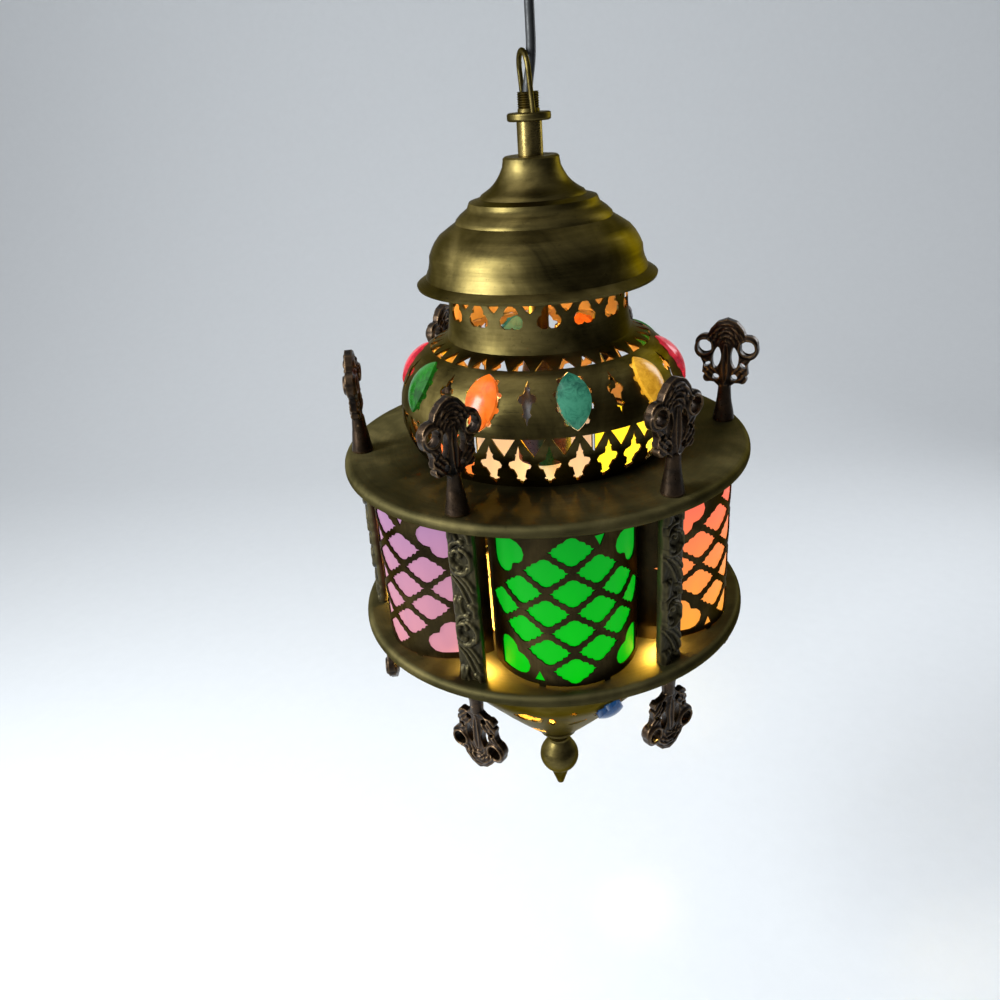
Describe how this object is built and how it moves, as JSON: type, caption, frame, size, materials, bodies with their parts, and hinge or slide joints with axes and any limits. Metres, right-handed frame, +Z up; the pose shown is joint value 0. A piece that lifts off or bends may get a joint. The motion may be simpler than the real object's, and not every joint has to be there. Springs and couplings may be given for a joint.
{
  "type": "pierced fanous hanging lantern",
  "caption": "Hanging fanous lantern: lobed pierced brass panels with coloured liners between round plates, jewelled domes, cast finials, opening bowl, on a cord from a ceiling rose.",
  "frame": {"origin": "middle of the ceiling rose's bracket, on the face that meets the ceiling", "axes": "+Z up into the ceiling, along the lantern's axis; -Y towards the camera, +X to its right"},
  "size_m": [0.2158, 0.21, 0.4761],
  "materials": {
    "aged_brass": "brushed, aged olive brown",
    "black_plastic": "moulded",
    "bright_brass": "polished",
    "bulb_glass": "frosted glass, lit",
    "cast_bronze": "cast, blackened and glossy",
    "cord_sheath": "smooth black sheath",
    "dark_brass": "pierced sheet, dark and worn",
    "glass_blue": "cast coloured glass",
    "glass_green": "cast coloured glass",
    "glass_orange": "cast coloured glass",
    "glass_red": "cast coloured glass",
    "glass_teal": "cast coloured glass",
    "glass_yellow": "cast coloured glass",
    "lead_insulation": "insulated wire",
    "liner_amber": "translucent coloured sheet, lit",
    "liner_green": "translucent coloured sheet, lit",
    "liner_mauve": "translucent coloured sheet, lit",
    "liner_orange": "translucent coloured sheet, lit",
    "liner_peach": "translucent coloured sheet, lit",
    "liner_red": "translucent coloured sheet, lit",
    "plated_steel": "zinc plated",
    "rubber_bush": "matte",
    "white_plastic": "moulded"
  },
  "bodies": {
    "lantern": {"ceiling_rose": "aged_brass", "rose_bracket": "plated_steel", "rose_fasteners": "aged_brass", "cord_grip": "aged_brass", "terminal_block": "white_plastic", "cord": "cord_sheath", "cord_bush": "rubber_bush", "hanging_loop": "aged_brass", "threaded_tube": "aged_brass", "spacer_sleeve": "bright_brass", "cap": "aged_brass", "tube_nuts": "plated_steel", "upper_dome": "aged_brass", "stones_green": "glass_green", "stones_orange": "glass_orange", "stones_teal": "glass_teal", "stones_yellow": "glass_yellow", "stones_red": "glass_red", "top_plate": "aged_brass", "top_finial_1": "cast_bronze", "top_finial_2": "cast_bronze", "top_finial_3": "cast_bronze", "top_finial_4": "cast_bronze", "top_finial_5": "cast_bronze", "top_finial_6": "cast_bronze", "column_1": "cast_bronze", "column_2": "cast_bronze", "column_3": "cast_bronze", "column_4": "cast_bronze", "column_5": "cast_bronze", "column_6": "cast_bronze", "panel_1": "dark_brass", "panel_2": "dark_brass", "panel_3": "dark_brass", "panel_4": "dark_brass", "panel_5": "dark_brass", "panel_6": "dark_brass", "liner_1": "liner_amber", "liner_2": "liner_peach", "liner_3": "liner_red", "liner_4": "liner_mauve", "liner_5": "liner_green", "liner_6": "liner_orange", "bottom_plate": "aged_brass", "lower_finial_1": "cast_bronze", "lower_finial_2": "cast_bronze", "lower_finial_3": "cast_bronze", "lower_finial_4": "cast_bronze", "lower_finial_5": "cast_bronze", "lower_finial_6": "cast_bronze", "bowl_hinge": "aged_brass", "hinge_pin": "plated_steel", "lampholder": "black_plastic", "holder_leads": "lead_insulation"},
    "bowl": {"bowl": "aged_brass", "bowl_ring": "aged_brass", "bowl_stones_green": "glass_green", "bowl_stones_blue": "glass_blue", "bottom_finial": "aged_brass"},
    "bulb": {"bulb": "bulb_glass"}
  },
  "joints": [
    {"name": "bowl_hinge", "type": "hinge", "parent": "lantern", "child": "bowl", "pos_m": [-0.0024, 0.06905, -0.3292], "axis": [1, 0, 0], "range_deg": [0, 42]},
    {"name": "bulb_unscrew", "type": "slide", "parent": "lantern", "child": "bulb", "axis": [0, 0, -1], "range_m": [0, 0.024]}
  ]
}
